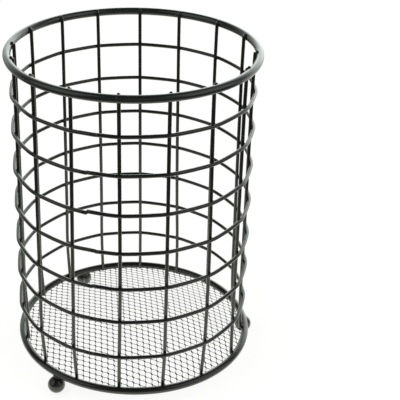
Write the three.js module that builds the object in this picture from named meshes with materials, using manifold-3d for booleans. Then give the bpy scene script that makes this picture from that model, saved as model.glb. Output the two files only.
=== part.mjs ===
// A round wire basket for cutlery: two thick rings, sixteen uprights, seven hoops, a mesh floor
// and three ball feet. Millimetres, +Z up, the origin on the table under the middle of its box.
import * as THREE from "three";
import { mergeVertices } from "three/addons/utils/BufferGeometryUtils.js";
import Module from "manifold-3d";

const wasm = await Module();
wasm.setup();

// The two thick rings
const rimDiameter = 125;
const rimWire = 3.6;
const baseDiameter = 127.1;
const baseDepth = 122.3; // from front to back, less than across: this ring is bent a little oval
const baseWire = 3.6;
const baseShift = 1.15; // the base ring is welded on a little to the right of the wall's axis

// The wall: thin hoops outside thin uprights
const gridWire = 1.8;
const topHoopInset = 1; // from the middle of the rim's wire in to the top hoop's
const lowHoopInset = 0.9; // from the middle of the base ring's wire in to the lowest hoop's
const hoopPitch = 19.9;
const baseToHoop = 22.1;
const hoopToRim = 18.3;
const hoopCount = 7;
const uprightCount = 16;
const weldGap = 0.3; // left between pieces that are welded on the real basket

// How far each hoop and each upright lies from its even place, as shares of the spacing,
// the lowest hoop first. Then how far each upright leans round the wall from foot to tip,
// and how far its lowest part is bent round besides.
const hoopDriftShares = [0, 0.062, 0.01, 0.004, 0.018, 0.036, 0];
const uprightDriftShares = [
  0.025, 0.094, 0.09, 0.038, 0.025, -0.013, -0.011, 0.04,
  -0.124, -0.061, -0.06, -0.023, -0.055, -0.03, 0.045, 0.02,
];
const uprightLeanShares = [
  0.09, 0.008, 0.083, 0.067, 0.082, 0, 0.017, -0.07,
  0.01, 0.026, 0.067, -0.048, -0.02, -0.122, 0, -0.04,
];
const uprightBendShares = [
  -0.045, -0.055, -0.06, 0, 0.045, 0.025, 0.02, 0,
  -0.01, 0.005, 0.006, -0.062, -0.025, -0.125, -0.03, 0,
];
const uprightBendHeight = 90; // from the base ring up to where those bends run out
const firstUprightAngle = 17.5; // degrees, from +X towards +Y
const hoopFlatShare = 0.35; // how far a hoop runs straight between uprights, 1 is a polygon

// The floor: expanded metal, pushed up in the middle. The real sheet has about four times
// as many gaps, on finer strands.
const gapLongWay = 11.6;
const gapShortWay = 7.0;
const longWayAngle = -56; // degrees, from +X towards +Y
const strandWidth = 0.9;
const sheetThickness = 0.6;
const floorRise = 6;
const floorInset = 1.2; // from the middle of the base ring's wire to the sheet's cut edge

// The feet
const footDiameter = 9.2;
const footFlatDepth = 0.25;
const footWeldDepth = 0.7; // how far the ring's wire is let into the ball
const feet = {
  foot_right: { angle: 6.9, outset: 0.65 },
  foot_back_left: { angle: 119.6, outset: 1.8 },
  foot_front_left: { angle: 229.7, outset: 1.6 },
};

// Facets
const ringSegments = 64;
const ringSides = 8;
const hoopSides = 6;
const stepsPerBay = 3;
const uprightSides = 6;
const uprightSteps = 16;
const ballSegments = 20;
const ballRings = 10;

// Sizes worked out from those above
const rimRadius = (rimDiameter - rimWire) / 2; // to the middle of the wire
const baseRadius = (baseDiameter - baseWire) / 2;
const baseNarrowing = (baseDiameter - baseDepth) / 2;
const topHoopRadius = rimRadius - topHoopInset;
const lowHoopRadius = baseRadius - lowHoopInset;
const footRadius = footDiameter / 2;
const footHeight = footRadius - footFlatDepth; // the ball's middle above the table
const baseHeight = footHeight + footRadius + baseWire / 2 - footWeldDepth;
const hoopSpan = hoopPitch * (hoopCount - 1);
const lowHoopHeight = baseHeight + baseToHoop;
const rimHeight = lowHoopHeight + hoopSpan + hoopToRim;
const bayAngle = 360 / uprightCount;
const floorRadius = baseRadius - floorInset;
const floorNarrow = 1 - baseNarrowing / floorRadius; // the sheet's depth over its width
const floorTop = baseHeight - Math.sqrt((baseWire / 2) ** 2 - floorInset ** 2) - weldGap;
const floorEdgeHeight = floorTop - sheetThickness / 2;

const wireFinish = { color: 0x1c1e1c, roughness: 0.42, metalness: 0.35 };
const meshFinish = { color: 0x242624, roughness: 0.5, metalness: 0.35 };

function radians(degrees) {
  return THREE.MathUtils.degToRad(degrees);
}

function uprightAngle(index, height) {
  const own = index % uprightCount;
  const climb = (height - baseHeight) / (rimHeight - baseHeight) - 0.5;
  const bend = Math.max(1 - (height - baseHeight) / uprightBendHeight, 0) ** 2;
  const drift = (uprightDriftShares[own] ?? 0)
    + (uprightLeanShares[own] ?? 0) * climb
    + (uprightBendShares[own] ?? 0) * bend;
  return radians(firstUprightAngle + (index + drift) * bayAngle);
}

// From the base ring's middle out to the middle of its wire
function baseReach(angle) {
  return baseRadius - baseNarrowing * Math.sin(angle) ** 2;
}

function hoopHeight(fromBase) {
  const drift = hoopDriftShares[fromBase] ?? 0;
  return lowHoopHeight + (fromBase + drift) * hoopPitch;
}

// The wall widens a little from the top hoop down to the lowest one
function hoopRadiusAt(height) {
  const share = (height - lowHoopHeight) / hoopSpan;
  return THREE.MathUtils.lerp(lowHoopRadius, topHoopRadius, share);
}

function part(name, geometry, finish) {
  const mesh = new THREE.Mesh(geometry, new THREE.MeshStandardMaterial(finish));
  mesh.name = name;
  return mesh;
}

// A round wire bent to a circle about the Z axis, at height zero
function wireRing(radius, wireDiameter, segments, sides) {
  const profile = [];
  for (let i = 0; i <= sides; i++) {
    const angle = ((i % sides) + 0.5) * 2 * Math.PI / sides;
    profile.push(new THREE.Vector2(
      radius + Math.cos(angle) * wireDiameter / 2,
      Math.sin(angle) * wireDiameter / 2,
    ));
  }
  const ring = new THREE.LatheGeometry(profile, segments);
  ring.rotateX(Math.PI / 2);
  return ring;
}

// The base ring's wire, at height zero: drawn in towards the front and the back
function baseRingWire(wireDiameter) {
  const ring = wireRing(baseRadius, wireDiameter, ringSegments, ringSides);
  const points = ring.attributes.position;
  for (let i = 0; i < points.count; i++) {
    const x = points.getX(i);
    const y = points.getY(i);
    const angle = Math.atan2(y, x);
    const reach = Math.hypot(x, y) - baseRadius + baseReach(angle);
    points.setXY(i, Math.cos(angle) * reach, Math.sin(angle) * reach);
  }
  return ring;
}

// Thin hoop: it touches every upright and runs nearly straight from one to the next
function hoopWire(height) {
  const radius = hoopRadiusAt(height);
  const steps = uprightCount * stepsPerBay;
  const hoop = wireRing(radius, gridWire, steps, hoopSides);
  const sagitta = radius * (1 - Math.cos(radians(bayAngle) / 2));
  const points = hoop.attributes.position;
  for (let i = 0; i < points.count; i++) {
    const x = points.getX(i);
    const y = points.getY(i);
    const turn = Math.atan2(y, x) / (2 * Math.PI);
    const step = (Math.round(turn * steps) + steps) % steps;
    const bay = Math.floor(step / stepsPerBay);
    const along = (step % stepsPerBay) / stepsPerBay;
    const angle = THREE.MathUtils.lerp(
      uprightAngle(bay, height), uprightAngle(bay + 1, height), along,
    );
    const inward = hoopFlatShare * sagitta * 4 * along * (1 - along);
    const reach = Math.hypot(x, y) - inward;
    points.setXY(i, Math.cos(angle) * reach, Math.sin(angle) * reach);
  }
  return hoop;
}

// Height of the middle of the floor's sheet, at a place seen from the base ring's middle
function floorHeight(x, y) {
  const share = Math.hypot(x, y / floorNarrow) / floorRadius;
  return floorEdgeHeight + floorRise * (1 - share * share);
}

// Upright: inside both rings, just inside every hoop, from above the floor to the rim's wire
function uprightWire(index) {
  const clear = gridWire / 2 + weldGap;
  const lowAngle = uprightAngle(index, baseHeight);
  const lowReach = baseReach(lowAngle) - baseWire / 2 - clear;
  const lowShift = baseShift * Math.cos(lowAngle);
  const footing = lowReach - gridWire / 2;
  const lowTip = floorHeight(footing * Math.cos(lowAngle), footing * Math.sin(lowAngle))
    + sheetThickness / 2 + weldGap;
  const crossings = Array.from({ length: hoopCount }, (_, i) => {
    const height = hoopHeight(i);
    return [hoopRadiusAt(height) - gridWire / 2 - clear, height];
  });
  const points = [
    [lowReach + lowShift, lowTip],
    ...crossings,
    [rimRadius - rimWire / 2 - clear, rimHeight + rimWire / 3],
  ].map(([reach, height]) => {
    const angle = uprightAngle(index, height);
    return new THREE.Vector3(Math.cos(angle) * reach, Math.sin(angle) * reach, height);
  });
  const section = new THREE.Shape();
  for (let i = 0; i < uprightSides; i++) {
    const around = (i + 0.5) * 2 * Math.PI / uprightSides;
    const x = Math.cos(around) * gridWire / 2;
    const y = Math.sin(around) * gridWire / 2;
    if (i === 0) section.moveTo(x, y);
    else section.lineTo(x, y);
  }
  section.closePath();
  const route = new THREE.CatmullRomCurve3(points);
  return new THREE.ExtrudeGeometry(section, {
    steps: uprightSteps, extrudePath: route, bevelEnabled: false,
  });
}

function toSolid(geometry) {
  const bare = geometry.clone();
  bare.deleteAttribute("normal");
  bare.deleteAttribute("uv");
  const merged = mergeVertices(bare);
  return new wasm.Manifold(new wasm.Mesh({
    numProp: 3,
    vertProperties: new Float32Array(merged.attributes.position.array),
    triVerts: new Uint32Array(merged.index.array),
  }));
}

function toGeometry(solid) {
  const mesh = solid.getMesh();
  const geometry = new THREE.BufferGeometry();
  geometry.setAttribute("position", new THREE.BufferAttribute(mesh.vertProperties, 3));
  geometry.setIndex(new THREE.BufferAttribute(mesh.triVerts, 1));
  geometry.computeVertexNormals();
  return geometry;
}

// Ball foot with a small flat to stand on, let into the wire of the base ring
function ballProfile() {
  const flatAngle = Math.acos(footHeight / footRadius);
  const profile = [new THREE.Vector2(0, -footHeight)];
  for (let i = 0; i <= ballRings; i++) {
    const angle = THREE.MathUtils.lerp(flatAngle, Math.PI, i / ballRings);
    const reach = i === ballRings ? 0 : Math.sin(angle) * footRadius;
    profile.push(new THREE.Vector2(reach, -Math.cos(angle) * footRadius));
  }
  return profile;
}

function footCentre({ angle, outset }) {
  const turn = radians(angle);
  const reach = baseReach(turn) + outset;
  return new THREE.Vector3(
    baseShift + Math.cos(turn) * reach,
    Math.sin(turn) * reach,
    footHeight,
  );
}

function ballFoot(place) {
  const ball = new THREE.LatheGeometry(ballProfile(), ballSegments);
  ball.rotateX(Math.PI / 2);
  const centre = footCentre(place);
  ball.translate(centre.x, centre.y, centre.z);
  const seat = baseRingWire(baseWire + 2 * weldGap);
  seat.translate(baseShift, 0, baseHeight);
  return toGeometry(toSolid(ball).subtract(toSolid(seat)));
}

// A four-cornered piece of the floor's sheet: its top, its bottom and the walls asked for
function addSheet(points, outline, walls) {
  const lift = ({ x, y }, side) => [x, y, floorHeight(x, y) + side * sheetThickness / 2];
  const top = outline.map((corner) => lift(corner, 1));
  const under = outline.map((corner) => lift(corner, -1));
  const quad = (a, b, c, d) => points.push(...a, ...b, ...c, ...a, ...c, ...d);
  quad(top[0], top[1], top[2], top[3]);
  quad(under[0], under[3], under[2], under[1]);
  for (const side of walls) {
    const next = (side + 1) % outline.length;
    quad(under[side], under[next], top[next], top[side]);
  }
}

// Expanded metal, domed: strands in two directions, with a four-cornered knuckle where they
// cross. A strand runs from one knuckle's side to the next one's, or ends free past the edge.
function strandNet() {
  const step = Math.hypot(gapLongWay, gapShortWay) / 2;
  const lean = Math.atan2(gapShortWay, gapLongWay);
  const ways = [lean, -lean].map((turn) => {
    const angle = radians(longWayAngle) + turn;
    return new THREE.Vector2(Math.cos(angle), Math.sin(angle));
  });
  const half = strandWidth / 2 / Math.sin(2 * lean);
  const along = (first, second) => new THREE.Vector2()
    .addScaledVector(ways[0], first)
    .addScaledVector(ways[1], second);
  const isInside = (i, j) => along(i * step, j * step).length() < floorRadius;
  const sides = [[1, 1], [1, -1], [-1, -1], [-1, 1]]; // a knuckle's corners, going round
  const strandSteps = [[1, 0], [0, -1], [-1, 0], [0, 1]]; // the strand off each of its sides
  const corner = (i, j, k) => {
    const [first, second] = sides[k % sides.length];
    return along(i * step + first * half, j * step + second * half);
  };
  const points = [];
  const addStrands = (i, j) => strandSteps.forEach(([di, dj], side) => {
    const near = [corner(i, j, side), corner(i, j, side + 1)];
    if (!isInside(i + di, j + dj)) {
      const run = along(di, dj).setLength(step - 2 * half - weldGap);
      addSheet(points, [near[0], near[0].clone().add(run), near[1].clone().add(run), near[1]], [0, 1, 2]);
    } else if (di + dj > 0) {
      const far = [corner(i + di, j + dj, side + 3), corner(i + di, j + dj, side + 2)];
      addSheet(points, [near[0], far[0], far[1], near[1]], [0, 2]);
    }
  });
  const most = Math.ceil(floorRadius / step / Math.sin(2 * lean));
  for (let i = -most; i <= most; i++) {
    for (let j = -most; j <= most; j++) {
      if (!isInside(i, j)) continue;
      addSheet(points, sides.map((_, k) => corner(i, j, k)), []);
      addStrands(i, j);
    }
  }
  const net = new THREE.BufferGeometry();
  net.setAttribute("position", new THREE.Float32BufferAttribute(points, 3));
  return net;
}

// Floor: the sheet cut to the base ring's shape, and cleared where the balls come up through it
function floorMesh() {
  const reach = 2 * (floorRise + sheetThickness);
  const cutter = (radius, segments, x, y) => {
    const cylinder = new THREE.CylinderGeometry(radius, radius, reach, segments);
    cylinder.rotateX(Math.PI / 2);
    cylinder.translate(x, y, floorEdgeHeight);
    return toSolid(cylinder);
  };
  const ballSide = floorTop - sheetThickness - footHeight;
  const ballRoom = Math.sqrt((footRadius + weldGap) ** 2 - ballSide ** 2);
  const blank = cutter(floorRadius, ringSegments, 0, 0).scale([1, floorNarrow, 1]);
  let sheet = toSolid(strandNet()).intersect(blank);
  for (const place of Object.values(feet)) {
    const centre = footCentre(place);
    sheet = sheet.subtract(cutter(ballRoom, ballSegments, centre.x - baseShift, centre.y));
  }
  // A bit of strand that the cuts leave loose falls away
  const [largest] = sheet.decompose().sort((a, b) => b.volume() - a.volume());
  const geometry = toGeometry(largest);
  geometry.translate(baseShift, 0, 0);
  return geometry;
}

const basket = new THREE.Group();

const rim = part("top_rim", wireRing(rimRadius, rimWire, ringSegments, ringSides), wireFinish);
rim.position.z = rimHeight;
basket.add(rim);

const base = part("base_ring", baseRingWire(baseWire), wireFinish);
base.position.set(baseShift, 0, baseHeight);
basket.add(base);

for (let i = 0; i < hoopCount; i++) {
  const height = hoopHeight(i);
  const hoop = part(`hoop_${hoopCount - i}`, hoopWire(height), wireFinish);
  hoop.position.z = height;
  basket.add(hoop);
}

for (let i = 0; i < uprightCount; i++) {
  const name = `upright_${String(i + 1).padStart(2, "0")}`;
  basket.add(part(name, uprightWire(i), wireFinish));
}

basket.add(part("base_mesh", floorMesh(), meshFinish));

for (const [name, place] of Object.entries(feet)) {
  basket.add(part(name, ballFoot(place), wireFinish));
}

// Sideways, the origin is the middle of the basket's box, which the feet stretch a little
const box = new THREE.Box3().setFromObject(basket);
const middle = box.getCenter(new THREE.Vector3());
basket.position.set(-middle.x, -middle.y, 0);

const model = new THREE.Group();
model.add(basket);

export default model;
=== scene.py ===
import math
import random

import bmesh
import bpy
from mathutils import Matrix, Vector


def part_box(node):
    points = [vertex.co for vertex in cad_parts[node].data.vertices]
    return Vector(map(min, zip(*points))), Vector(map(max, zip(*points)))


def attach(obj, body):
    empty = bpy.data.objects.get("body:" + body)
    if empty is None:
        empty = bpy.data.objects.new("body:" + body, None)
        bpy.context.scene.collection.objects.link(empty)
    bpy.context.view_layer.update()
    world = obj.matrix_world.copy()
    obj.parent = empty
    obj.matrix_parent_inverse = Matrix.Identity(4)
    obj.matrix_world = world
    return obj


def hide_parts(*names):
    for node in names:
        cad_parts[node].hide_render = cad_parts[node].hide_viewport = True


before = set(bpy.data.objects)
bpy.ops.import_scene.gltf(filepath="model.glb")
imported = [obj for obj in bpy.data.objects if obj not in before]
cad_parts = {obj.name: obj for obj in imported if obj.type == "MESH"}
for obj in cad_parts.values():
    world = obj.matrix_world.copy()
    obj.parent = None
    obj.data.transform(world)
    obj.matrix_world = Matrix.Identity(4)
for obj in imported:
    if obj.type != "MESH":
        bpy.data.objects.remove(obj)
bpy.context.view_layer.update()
print("frame loaded")

mm = 0.001  # shapes are worked out in millimetres and scaled when they are finished
up = Vector((0, 0, 1))
fullTurn = 2 * math.pi

reading = {               # how a wire's line is read from the corners of its solid
    "decimals": 3,        # of a mm, to which corners count as one
    "uprightGap": 1,      # mm, the least height between two rings of corners
    "hoopGap": 1.5,       # degrees, the least turn between two rings of corners
}


def boxOf(node):
    low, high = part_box(node)
    return low / mm, high / mm


def cornersOf(node):
    corners = {tuple(round(value / mm, reading["decimals"]) for value in vertex.co)
               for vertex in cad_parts[node].data.vertices}
    return [Vector(corner) for corner in corners]


def ringMiddles(corners, measure, gap):
    # a swept wire's corners fall into rings where the measure jumps; gives each ring's middle
    ordered = sorted(corners, key=measure)
    rings = [[ordered[0]]]
    for before, corner in zip(ordered, ordered[1:]):
        if measure(corner) - measure(before) > gap:
            rings.append([])
        rings[-1].append(corner)
    return [sum(ring, Vector()) / len(ring) for ring in rings]


def axisOf(node):
    low, high = boxOf(node)
    return Vector(((low.x + high.x) / 2, (low.y + high.y) / 2, 0))


def direction(azimuth):
    return Vector((math.cos(azimuth), math.sin(azimuth), 0))


def azimuthOf(point):
    return math.atan2(point.y, point.x)


wallAxis = axisOf("top_rim")
baseAxis = axisOf("base_ring")


def newMaterial(name):
    material = bpy.data.materials.new(name)
    material.use_nodes = True
    tree = material.node_tree
    tree.nodes.clear()
    output = tree.nodes.new("ShaderNodeOutputMaterial")
    return material, tree, output


coat = {
    "colour": (0.0068, 0.0078, 0.0066, 1),
    "rimPaintedLightColour": (0.0125, 0.015, 0.0143, 1),   # painted light: a paler copy of the coat, standing in for the stronger light on the high rim
    "roughness": 0.2,
    "roughnessSpread": 0.06,
    "cloudSize": 5.4,       # mm, the patches in which the roughness comes and goes
    "cloudDetail": 2,
    "cloudSpan": (0.3, 0.7),
    "meshRougher": 0.08,    # added to the roughness on the mesh floor
    "ballRougher": -0.04,   # and on the feet
    "specular": 0.6,
    "peelSize": 0.9,        # mm, the waves of the baked powder
    "peelDepth": 0.012,     # mm
    "grainSize": 0.22,      # mm, the powder's grain
    "grainDepth": 0.002,    # mm
    "bumpDetail": 1,
    "sheen": 0.2,           # weight of the clear skin on top
    "sheenRoughness": 0.2,
}


def blackCoat(name, rougher=0.0, colour="colour"):
    material, tree, output = newMaterial(name)
    nodes, links = tree.nodes, tree.links
    shader = nodes.new("ShaderNodeBsdfPrincipled")
    shader.inputs["Base Color"].default_value = coat[colour]
    shader.inputs["Specular IOR Level"].default_value = coat["specular"]
    shader.inputs["Coat Weight"].default_value = coat["sheen"]
    shader.inputs["Coat Roughness"].default_value = coat["sheenRoughness"]
    links.new(shader.outputs["BSDF"], output.inputs["Surface"])
    place = nodes.new("ShaderNodeTexCoord")

    def noise(size, detail):
        texture = nodes.new("ShaderNodeTexNoise")
        texture.inputs["Scale"].default_value = 1 / (size * mm)
        texture.inputs["Detail"].default_value = detail
        links.new(place.outputs["Object"], texture.inputs["Vector"])
        return texture.outputs["Fac"]

    def bump(size, depth):
        waves = nodes.new("ShaderNodeBump")
        waves.inputs["Distance"].default_value = depth * mm
        links.new(noise(size, coat["bumpDetail"]), waves.inputs["Height"])
        return waves

    middle = coat["roughness"] + rougher
    swing = coat["roughnessSpread"] / 2
    spread = nodes.new("ShaderNodeMapRange")
    spread.inputs["From Min"].default_value, spread.inputs["From Max"].default_value = coat["cloudSpan"]
    spread.inputs["To Min"].default_value = middle - swing
    spread.inputs["To Max"].default_value = middle + swing
    links.new(noise(coat["cloudSize"], coat["cloudDetail"]), spread.inputs["Value"])
    links.new(spread.outputs["Result"], shader.inputs["Roughness"])

    peel = bump(coat["peelSize"], coat["peelDepth"])
    grain = bump(coat["grainSize"], coat["grainDepth"])
    links.new(peel.outputs["Normal"], grain.inputs["Normal"])
    links.new(grain.outputs["Normal"], shader.inputs["Normal"])
    return material


ringCoat = blackCoat("ring_coat")
# painted light: the rim gets its own paler copy of the same coat, for the light that falls on it
rimPaintedLightCoat = blackCoat("rim_coat_painted_light", colour="rimPaintedLightColour")
gridCoat = blackCoat("grid_coat")
meshCoat = blackCoat("mesh_coat", coat["meshRougher"])
ballCoat = blackCoat("ball_coat", coat["ballRougher"])
print("materials made")


def finishPiece(shape, name, node, material):
    bmesh.ops.recalc_face_normals(shape, faces=shape.faces)
    bmesh.ops.scale(shape, vec=(mm, mm, mm), verts=shape.verts)
    mesh = bpy.data.meshes.new(name)
    shape.to_mesh(mesh)
    shape.free()
    mesh.materials.append(material)
    mesh.shade_smooth()
    piece = bpy.data.objects.new(name, mesh)
    bpy.context.scene.collection.objects.link(piece)
    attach(piece, "root")
    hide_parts(node)
    return piece


def addLump(shape, middle, along, out, size, sides=(8, 6)):
    # a weld's lump: size is along the first direction, across both, and outwards
    across = out.cross(along).normalized()
    turn = Matrix((along, across, out)).transposed().to_4x4()
    stretch = Matrix.Diagonal((size[0] / 2, size[1] / 2, size[2] / 2, 1))
    bmesh.ops.create_uvsphere(
        shape, u_segments=sides[0], v_segments=sides[1], radius=1,
        matrix=Matrix.Translation(middle) @ turn @ stretch)


def spinWire(shape, reach, wire, start=0.0, gap=0.0):
    # a round wire bent about the Z axis: its section, spun round as far as the gap
    stand = Matrix.Rotation(start, 4, "Z") @ Matrix.Translation((reach, 0, 0))
    bmesh.ops.create_circle(
        shape, segments=wire["sides"], radius=wire["wire"] / 2,
        matrix=stand @ Matrix.Rotation(math.pi / 2, 4, "X"))
    bmesh.ops.spin(
        shape, geom=shape.verts[:] + shape.edges[:], cent=(0, 0, 0), axis=(0, 0, 1),
        angle=fullTurn - gap, steps=wire["steps"], use_merge=gap == 0)
    if gap > 0:
        ends = [edge for edge in shape.edges if edge.is_boundary]
        bmesh.ops.holes_fill(shape, edges=ends)


uprightWire = {
    "count": 16,
    "wire": 1.8,
    "sides": 12,
    "cuts": 40,          # along its length, so that it can follow its line
    "tip": 0.55,         # mm, how far the ends are rounded
    "tipCuts": 3,
    "tipProfile": 0.5,
    "outwards": 0.45,    # closes the gap that the frame keeps to what it is welded to
    "liftAtTip": 0.1,    # mm, how much longer it is at the top
}


def uprightNode(number):
    return f"upright_{number:02d}"


def lineAt(line, height):
    # where an upright's middle lies at a height, moved out to what it is welded to
    for low, high in zip(line, line[1:]):
        if height <= high.z:
            break
    share = (height - low.z) / (high.z - low.z)
    point = low.lerp(high, share)
    out = (point - wallAxis).xy.normalized().to_3d()
    return point + out * uprightWire["outwards"]


uprightLines = {}
for number in range(1, uprightWire["count"] + 1):
    corners = cornersOf(uprightNode(number))
    uprightLines[number] = ringMiddles(corners, lambda corner: corner.z, reading["uprightGap"])


def makeUpright(number):
    line = uprightLines[number]
    low = line[0].z
    high = line[-1].z + uprightWire["liftAtTip"]
    radius = uprightWire["wire"] / 2
    shape = bmesh.new()
    bmesh.ops.create_cone(
        shape, cap_ends=True, segments=uprightWire["sides"], radius1=radius,
        radius2=radius, depth=high - low, matrix=Matrix.Translation(up * (low + high) / 2))
    # the short edges run round its two ends, the long ones from end to end
    ends = [edge for edge in shape.edges if edge.calc_length() < radius]
    bmesh.ops.bevel(
        shape, geom=ends, offset=uprightWire["tip"], offset_type="OFFSET", affect="EDGES",
        segments=uprightWire["tipCuts"], profile=uprightWire["tipProfile"], material=-1)
    sides = [edge for edge in shape.edges if edge.calc_length() > (high - low) / 2]
    bmesh.ops.subdivide_edges(
        shape, edges=sides, cuts=uprightWire["cuts"], use_grid_fill=True)
    for vertex in shape.verts:
        middle = lineAt(line, vertex.co.z)
        vertex.co += Vector((middle.x, middle.y, 0))
    finishPiece(shape, f"upright_wire_{number:02d}", uprightNode(number), gridCoat)


for number in uprightLines:
    makeUpright(number)
print("uprights made")


ringWire = {
    "wire": 3.85,
    "frameWire": 3.6,              # mm, the same wire in the frame
    "sides": 24,
    "steps": 160,
    "nugget": (3.4, 2.3, 2.2),     # mm, where an upright is welded on: up, along the wire, out
    "nuggetSpread": 0.25,          # how much the nuggets' heights differ
    "nuggetSeed": 11,
    "bead": 1.6,                   # mm, the rim has one more above each nugget
    "beadHeight": 1.55,            # mm, from the nugget's middle
    "seamAt": 263.5,               # degrees, where the rim's ends meet
    "seam": (1.8, 4.1, 4.1),       # mm, along the wire and across it
    "seamSides": (12, 8),
}


def ringReach(node):
    # out to the middle of a thick ring's wire, and how much less it is at front and back
    low, high = boxOf(node)
    across, deep = high.xy - low.xy
    return (across - ringWire["frameWire"]) / 2, (across - deep) / 2


def makeRing(name, node, axis, material):
    low, high = boxOf(node)
    height = (low.z + high.z) / 2
    reach, narrowing = ringReach(node)
    isRim = node == "top_rim"
    shape = bmesh.new()
    spinWire(shape, reach, ringWire)
    for vertex in shape.verts:
        azimuth = azimuthOf(vertex.co)
        vertex.co -= direction(azimuth) * narrowing * math.sin(azimuth) ** 2
    bmesh.ops.translate(shape, vec=axis + up * height, verts=shape.verts)

    draw = random.Random(ringWire["nuggetSeed"])
    tall, wide, thick = ringWire["nugget"]
    for line in uprightLines.values():
        crossing = lineAt(line, height)
        out = (crossing - axis).xy.normalized().to_3d()
        grow = 1 + ringWire["nuggetSpread"] * (draw.random() - 0.5)
        middle = crossing + out * uprightWire["wire"] / 2
        addLump(shape, middle, up, out, (tall * grow, wide, thick))
        if isRim:
            addLump(shape, middle + up * ringWire["beadHeight"], up, out, [ringWire["bead"] * grow] * 3)
    if isRim:
        out = direction(math.radians(ringWire["seamAt"]))
        middle = axis + out * reach + up * height
        addLump(shape, middle, up.cross(out), out, ringWire["seam"], ringWire["seamSides"])
    finishPiece(shape, name, node, material)


# the rim wears the paler copy of the coat, which is painted light
makeRing("rim_wire", "top_rim", wallAxis, rimPaintedLightCoat)
makeRing("base_wire", "base_ring", baseAxis, ringCoat)
print("rings made")


hoopWire = {
    "count": 7,
    "wire": 1.9,
    "sides": 12,
    "steps": 192,
    "gap": 0.25,                  # mm, between its two ends
    "inwards": 0.05,              # closes the gap that the frame keeps to the uprights
    "nugget": (2.3, 2.3, 1.5),    # mm, along the wire, up and out
    "nuggetSpread": 0.3,
    "nuggetSeed": 5,
    "seamAt": (253.4, 249.6, 249.6, 253.4, 251.6, 253.0, 250.5),   # degrees
    "seamSteps": (0.0, 0.25, 0.8, -0.25, 0.4, 0.0, 0.0),   # mm, how much higher the right end lies
    "seamReach": 6.0,             # mm along the wire, over which an end bends away
    "seamKink": 0.25,             # mm, how far the stiff ends stand out
    "seam": (1.1, 2.0, 2.0),      # mm, along the wire and across it
    "seamSides": (10, 6),
}


def hoopLine(node):
    corners = [corner - wallAxis for corner in cornersOf(node)]
    middles = ringMiddles(corners, azimuthOf, math.radians(reading["hoopGap"]))
    return [(azimuthOf(middle), middle.xy.length) for middle in middles], middles[0].z


def reachAt(line, azimuth):
    # a smooth curve through the hoop's rings, going round without an end
    count = len(line)
    after = next((i for i, (place, _) in enumerate(line) if place > azimuth), 0)
    places = [line[(after + i) % count] for i in (-2, -1, 0, 1)]
    start, end = places[1][0], places[2][0]
    width = (end - start) % fullTurn
    share = ((azimuth - start) % fullTurn) / width
    a, b, c, d = (reach for _, reach in places)
    return b + share / 2 * (c - a + share * (2 * a - 5 * b + 4 * c - d
                                             + share * (3 * (b - c) + d - a)))


def makeHoop(number):
    line, height = hoopLine(f"hoop_{number}")
    reach = max(place[1] for place in line)
    seam = math.radians(hoopWire["seamAt"][number - 1])
    gap = hoopWire["gap"] / reach
    shape = bmesh.new()
    spinWire(shape, reach, hoopWire, seam + gap / 2, gap)
    step = hoopWire["seamSteps"][number - 1]
    for vertex in shape.verts:
        azimuth = azimuthOf(vertex.co)
        turn = (azimuth - seam) % fullTurn
        fromRight = turn * reach / hoopWire["seamReach"]
        fromLeft = (fullTurn - turn) * reach / hoopWire["seamReach"]
        bend = math.exp(-fromRight ** 2) - math.exp(-fromLeft ** 2)
        stand = math.exp(-(2 * fromRight) ** 2) + math.exp(-(2 * fromLeft) ** 2)
        inward = reach - reachAt(line, azimuth) + hoopWire["inwards"]
        vertex.co += direction(azimuth) * (hoopWire["seamKink"] * stand - inward)
        vertex.co.z += height + step / 2 * bend

    draw = random.Random(hoopWire["nuggetSeed"] + number)
    wide, tall, thick = hoopWire["nugget"]
    for upright in uprightLines.values():
        crossing = lineAt(upright, height) - wallAxis
        out = crossing.xy.normalized().to_3d()
        hoopReach = reachAt(line, azimuthOf(crossing)) - hoopWire["inwards"]
        middle = out * (crossing.xy.length + hoopReach) / 2 + up * height
        grow = 1 + hoopWire["nuggetSpread"] * (draw.random() - 0.5)
        addLump(shape, middle, up.cross(out), out, (wide * grow, tall, thick))
    out = direction(seam)
    middle = out * (reachAt(line, azimuthOf(out)) - hoopWire["inwards"] + hoopWire["seamKink"])
    addLump(shape, middle + up * height, up.cross(out), out, hoopWire["seam"], hoopWire["seamSides"])
    bmesh.ops.translate(shape, vec=wallAxis, verts=shape.verts)
    finishPiece(shape, f"hoop_wire_{number}", f"hoop_{number}", gridCoat)


for number in range(1, hoopWire["count"] + 1):
    makeHoop(number)
print("hoops made")


sheet = {
    "stepRight": (3.268, -1.561),   # mm from one knuckle to the next, along each of the strands
    "stepDown": (0.149, -3.5),
    "knuckleAt": (0.866, -1.212),   # mm, one knuckle's middle, from the ring's middle
    "knuckleLength": 0.95,
    "knuckleWidth": 0.74,
    "shoulder": 0.3,                # mm, how far a knuckle takes to narrow to the strand
    "strand": 0.24,
    "thickness": 0.1,
    "openingShares": (0.99, 1.0),   # an opening's size along the two steps, over the even one's
    "tilt": 1.0,                    # degrees that an opening's inner edges are turned by
    "spareCells": 3,                # past the edge, before the net is cut round
    "margin": 4,                    # mm, how far out whole cells are kept for that cut
    "joinWithin": 0.01,             # mm, corners of neighbouring cells become one
    "cuts": 96,                     # straight cuts that make its edge round
    "rise": 6.0,                    # mm, the dome's height
    "lopsided": 1.4,                # mm, how much more it rises towards its right edge
    "seat": 8.6,                    # mm, height of its edge, against the underside of the ring
}


def cellOutline(halfLong, halfShort):
    # the middle line round one opening: four strands, and a flat side at two of its knuckles
    tip = Vector((0, halfLong, 0))
    side = Vector((halfShort, sheet["knuckleLength"] / 2, 0))
    shoulder = (side - tip).normalized() * sheet["shoulder"]
    quarter = [tip + shoulder, side - shoulder, side]

    def turned(points, x, y):
        return [Vector((point.x * x, point.y * y, 0)) for point in points]

    return ([tip] + turned(quarter, -1, 1) + turned(quarter[::-1], -1, -1)
            + [-tip] + turned(quarter, 1, -1) + turned(quarter[::-1], 1, 1))


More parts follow.
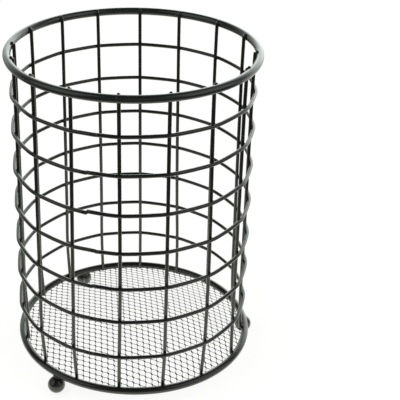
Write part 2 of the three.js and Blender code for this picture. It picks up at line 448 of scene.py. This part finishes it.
def addCell(shape, longWay, shortWay):
    # one cell of the net, lying flat: its rim is kept as strands and the middle is left open
    halfLong, halfShort = longWay.length / 2, shortWay.length / 2
    outline = cellOutline((longWay.length - sheet["knuckleLength"]) / 2, halfShort)
    bmesh.ops.create_circle(shape, cap_ends=True, segments=len(outline), radius=1)
    for vertex, place in zip(shape.verts, outline):
        vertex.co = place
    shape.normal_update()
    strands = bmesh.ops.inset_region(
        shape, faces=shape.faces[:], thickness=sheet["strand"] / 2,
        use_boundary=True, use_even_offset=True)["faces"]
    opening = [face for face in shape.faces if face not in strands]
    inner = list(opening[0].verts)
    bmesh.ops.delete(shape, geom=opening, context="FACES_ONLY")

    wider = (sheet["knuckleWidth"] - sheet["strand"]) / 2
    for vertex in inner:
        if abs(vertex.co.y) < sheet["knuckleLength"] / 2 + sheet["strand"] / 2:
            vertex.co.x -= math.copysign(wider, vertex.co.x)
    firstShare, secondShare = sheet["openingShares"]
    for vertex in inner:
        first = (vertex.co.y / halfLong + vertex.co.x / halfShort) / 2 * firstShare
        second = (vertex.co.y / halfLong - vertex.co.x / halfShort) / 2 * secondShare
        vertex.co.xy = ((first - second) * halfShort, (first + second) * halfLong)
    bmesh.ops.rotate(
        shape, cent=(0, 0, 0), verts=inner,
        matrix=Matrix.Rotation(math.radians(sheet["tilt"]), 3, "Y"))
    ways = Matrix((shortWay.normalized(), longWay.normalized(), up)).transposed()
    bmesh.ops.transform(shape, matrix=ways.to_4x4(), verts=shape.verts)


def repeatCell(shape, right, down, radius):
    half = math.ceil(radius / min(right.length, down.length)) + sheet["spareCells"]
    for step in (right, down):
        cells = shape.verts[:] + shape.edges[:] + shape.faces[:]
        for number in range(1, 2 * half):
            copy = bmesh.ops.duplicate(shape, geom=cells)["geom"]
            corners = [item for item in copy if isinstance(item, bmesh.types.BMVert)]
            bmesh.ops.translate(shape, vec=step * number, verts=corners)
    middle = Vector((*sheet["knuckleAt"], 0)) + (right - down) / 2
    centring = (right + down) * (half - 1)
    bmesh.ops.translate(shape, vec=middle - centring, verts=shape.verts)
    far = [face for face in shape.faces
           if face.calc_center_median().length > radius + sheet["margin"]]
    bmesh.ops.delete(shape, geom=far, context="FACES")
    bmesh.ops.remove_doubles(shape, verts=shape.verts, dist=sheet["joinWithin"])


def makeSheet():
    low, high = boxOf("base_mesh")
    radius = (high.x - low.x) / 2
    narrow = (high.y - low.y) / (high.x - low.x)
    right = Vector((*sheet["stepRight"], 0))
    down = Vector((*sheet["stepDown"], 0))
    shape = bmesh.new()
    addCell(shape, right + down, right - down)
    repeatCell(shape, right, down, radius)

    for number in range(sheet["cuts"]):
        out = direction(fullTurn * number / sheet["cuts"])
        bmesh.ops.bisect_plane(
            shape, geom=shape.verts[:] + shape.edges[:] + shape.faces[:],
            plane_co=out * radius * math.hypot(out.x, out.y * narrow), plane_no=out,
            clear_outer=True)
    for vertex in shape.verts:
        share = math.hypot(vertex.co.x, vertex.co.y / narrow) / radius
        rise = sheet["rise"] + sheet["lopsided"] * vertex.co.x / radius
        vertex.co.z += sheet["seat"] + rise * (1 - share ** 2)
    bmesh.ops.translate(shape, vec=baseAxis, verts=shape.verts)
    piece = finishPiece(shape, "floor_mesh", "base_mesh", meshCoat)
    piece.data.shade_flat()
    wall = piece.modifiers.new("thickness", "SOLIDIFY")
    wall.thickness = sheet["thickness"] * mm
    wall.offset = 0


makeSheet()
print("mesh floor made")


ball = {
    "flat": 0.25,                 # mm, how much is cut off where it stands
    "segments": 48,
    "rings": 28,
    "collar": (6.2, 4.6, 2.2),    # mm, the weld: along the ring, across it and up to it
    "collarSides": (20, 12),
    "collarProud": 0.1,           # mm, how far past the ball its middle lies
}


def makeBall(name, node):
    low, high = boxOf(node)
    radius = (high.y - low.y) / 2
    middle = Vector(((low.x + high.x) / 2, (low.y + high.y) / 2, radius - ball["flat"]))
    shape = bmesh.new()
    bmesh.ops.create_uvsphere(
        shape, u_segments=ball["segments"], v_segments=ball["rings"], radius=radius,
        matrix=Matrix.Translation(middle))
    for vertex in shape.verts:
        vertex.co.z = max(vertex.co.z, 0)
    ringLow, ringHigh = boxOf("base_ring")
    out = (middle - baseAxis).xy.normalized().to_3d()
    reach, narrowing = ringReach("base_ring")
    reach -= narrowing * out.y ** 2
    seat = baseAxis + out * reach + up * (ringLow.z + ringHigh.z) / 2
    towards = (seat - middle).normalized()
    addLump(shape, middle + towards * (radius + ball["collarProud"]), up.cross(out), towards,
            ball["collar"], ball["collarSides"])
    finishPiece(shape, name, node, ballCoat)


makeBall("ball_right", "foot_right")
makeBall("ball_back_left", "foot_back_left")
makeBall("ball_front_left", "foot_front_left")
print("feet made")


view = {
    "lens": 87.39,         # mm
    "sensor": 36.0,        # mm
    "shift": 0.1688,       # of the picture's width, as the basket stands left in it
    "lookAt": 87.77,       # mm up the wall's axis
    "distance": 505.7,     # mm
    "elevation": 28.77,    # degrees
    "roll": 0.327,         # degrees
}


def addCamera():
    data = bpy.data.cameras.new("camera")
    data.lens = view["lens"]
    data.sensor_width = view["sensor"]
    data.shift_x = view["shift"]
    camera = bpy.data.objects.new("camera", data)
    bpy.context.scene.collection.objects.link(camera)
    rise = math.radians(view["elevation"])
    away = Vector((0, -math.cos(rise), math.sin(rise))) * view["distance"]
    camera.matrix_world = (
        Matrix.Translation((wallAxis + up * view["lookAt"] + away) * mm)
        @ Matrix.Rotation(math.pi / 2 - rise, 4, "X")
        @ Matrix.Rotation(math.radians(view["roll"]), 4, "Z"))
    bpy.context.scene.camera = camera


# the spans say where a level changes over to the next: in the world as parts of a
# direction, on the floor as metres from its middle
studio = {
    "fill": 0.55,                      # the room's light on the object
    "backLevel": 3.0,                  # what the coat mirrors from low down behind
    "backTint": (0.92, 1.0, 0.96, 1),
    "frontLevel": 0.26,                # and from the camera's side
    "behindSpan": (0.25, 0.87),
    "highShare": 0.2,                  # how much of that is left high up
    "highSpan": (0.35, 0.8),
    "leftShare": 0.35,                 # and on the left
    "leftSpan": (-0.5, 0.1),
    "nearFloor": 1.3,                  # painted light: the floor's glow as the coat mirrors it, close to the basket, standing in for the pool of light there
    "farFloor": 0.12,                  # and further out
    "nearSpan": (0.1, 0.24),
    "backFloor": 1.3,                  # and behind it
    "backFloorSpan": (0.02, 0.2),
    "leftFloorSpan": (-0.06, 0.04),
    "floorTint": (1.0, 1.0, 0.9, 1),
    "floorColour": (0.86, 0.86, 0.83, 1),
    "floorSize": 4.0,                  # m
    "floorSides": 64,
    "floorGlow": 1.3,                  # the floor's own white, seen by the camera alone
    "shadowShare": 0.35,               # how much of the light and shadow on it is seen
    "boxPower": 3.0,                   # W, each of the two soft boxes
    "boxSize": (1.1, 1.3),             # m
    "boxAzimuths": (200, 340),         # degrees
    "boxHeight": 0.75,                 # m
    "boxDistance": 1.0,                # m
    "boxAim": 0.09,                    # m, the height they point at
}


def fade(tree, value, span, levels):
    # runs smoothly from one level to the other while the value crosses the span
    change = tree.nodes.new("ShaderNodeMapRange")
    change.interpolation_type = "SMOOTHSTEP"
    change.inputs["From Min"].default_value, change.inputs["From Max"].default_value = span
    change.inputs["To Min"].default_value, change.inputs["To Max"].default_value = levels
    tree.links.new(value, change.inputs["Value"])
    return change.outputs["Result"]


def combine(tree, operation, first, second):
    step = tree.nodes.new("ShaderNodeMath")
    step.operation = operation
    tree.links.new(first, step.inputs[0])
    tree.links.new(second, step.inputs[1])
    return step.outputs["Value"]


def mix(tree, share, first, second):
    both = tree.nodes.new("ShaderNodeMixShader")
    tree.links.new(share, both.inputs["Fac"])
    tree.links.new(first, both.inputs[1])
    tree.links.new(second, both.inputs[2])
    return both.outputs["Shader"]


def splitPlace(tree, kind):
    place = tree.nodes.new("ShaderNodeTexCoord").outputs[kind]
    parts = tree.nodes.new("ShaderNodeSeparateXYZ")
    tree.links.new(place, parts.inputs["Vector"])
    return place, parts.outputs


def addWorld():
    world = bpy.data.worlds.new("studio")
    bpy.context.scene.world = world
    world.use_nodes = True
    tree = world.node_tree
    tree.nodes.clear()
    output = tree.nodes.new("ShaderNodeOutputWorld")
    rays = tree.nodes.new("ShaderNodeLightPath").outputs

    def background(level):
        shade = tree.nodes.new("ShaderNodeBackground")
        shade.inputs["Strength"].default_value = level
        return shade

    # the coat mirrors the white backdrop behind and the darker room in front
    _, parts = splitPlace(tree, "Generated")
    behind = fade(tree, parts["Y"], studio["behindSpan"], (studio["frontLevel"], studio["backLevel"]))
    high = fade(tree, parts["Z"], studio["highSpan"], (1, studio["highShare"]))
    left = fade(tree, parts["X"], studio["leftSpan"], (studio["leftShare"], 1))
    level = combine(tree, "MULTIPLY", combine(tree, "MULTIPLY", behind, high), left)
    mirrored = background(1)
    mirrored.inputs["Color"].default_value = studio["backTint"]
    tree.links.new(level, mirrored.inputs["Strength"])

    clear = combine(tree, "MAXIMUM", rays["Is Glossy Ray"], rays["Is Transmission Ray"])
    fill = background(studio["fill"])
    room = mix(tree, clear, fill.outputs["Background"], mirrored.outputs["Background"])
    seen = mix(tree, rays["Is Camera Ray"], room, background(1).outputs["Background"])
    tree.links.new(seen, output.inputs["Surface"])


def floorPaint():
    material, tree, output = newMaterial("floor_white")
    paint = tree.nodes.new("ShaderNodeBsdfDiffuse")
    paint.inputs["Color"].default_value = studio["floorColour"]
    glow = tree.nodes.new("ShaderNodeEmission")
    glow.inputs["Strength"].default_value = studio["floorGlow"]
    rays = tree.nodes.new("ShaderNodeLightPath").outputs
    share = tree.nodes.new("ShaderNodeMath")
    share.operation = "MULTIPLY"
    share.inputs[1].default_value = 1 - studio["shadowShare"]
    tree.links.new(rays["Is Camera Ray"], share.inputs[0])
    white = mix(tree, share.outputs["Value"], paint.outputs["BSDF"], glow.outputs["Emission"])

    # painted light: what the coat mirrors of it glows, pale behind and close around the basket, dark
    # further out, standing in for the light falling on the floor
    place, parts = splitPlace(tree, "Object")
    distance = tree.nodes.new("ShaderNodeVectorMath")
    distance.operation = "LENGTH"
    tree.links.new(place, distance.inputs[0])
    near = fade(tree, distance.outputs["Value"], studio["nearSpan"],
                (studio["nearFloor"], studio["farFloor"]))
    back = fade(tree, parts["Y"], studio["backFloorSpan"], (0, studio["backFloor"]))
    left = fade(tree, parts["X"], studio["leftFloorSpan"], (studio["leftShare"], 1))
    # painted light: this glow is seen only in the coat's reflections
    mirrored = tree.nodes.new("ShaderNodeEmission")
    mirrored.inputs["Color"].default_value = studio["floorTint"]
    level = combine(tree, "MAXIMUM", near, combine(tree, "MULTIPLY", back, left))
    tree.links.new(level, mirrored.inputs["Strength"])
    seen = mix(tree, rays["Is Glossy Ray"], white, mirrored.outputs["Emission"])
    tree.links.new(seen, output.inputs["Surface"])
    return material


def addFloor():
    shape = bmesh.new()
    bmesh.ops.create_circle(
        shape, cap_ends=True, segments=studio["floorSides"], radius=studio["floorSize"])
    mesh = bpy.data.meshes.new("floor")
    shape.to_mesh(mesh)
    shape.free()
    mesh.materials.append(floorPaint())
    floor = bpy.data.objects.new("floor", mesh)
    bpy.context.scene.collection.objects.link(floor)


def addSoftBox(name, azimuth):
    data = bpy.data.lights.new(name, "AREA")
    data.shape = "RECTANGLE"
    data.size, data.size_y = studio["boxSize"]
    data.energy = studio["boxPower"]
    lamp = bpy.data.objects.new(name, data)
    bpy.context.scene.collection.objects.link(lamp)
    place = direction(math.radians(azimuth)) * studio["boxDistance"] + up * studio["boxHeight"]
    aim = up * studio["boxAim"] - place
    lamp.location = place
    lamp.rotation_euler = aim.to_track_quat("-Z", "Y").to_euler()


addCamera()
addWorld()
addFloor()
for name, azimuth in zip(("box_left", "box_right"), studio["boxAzimuths"]):
    addSoftBox(name, azimuth)
bpy.context.scene.view_settings.view_transform = "Standard"
print("camera, floor and light made")
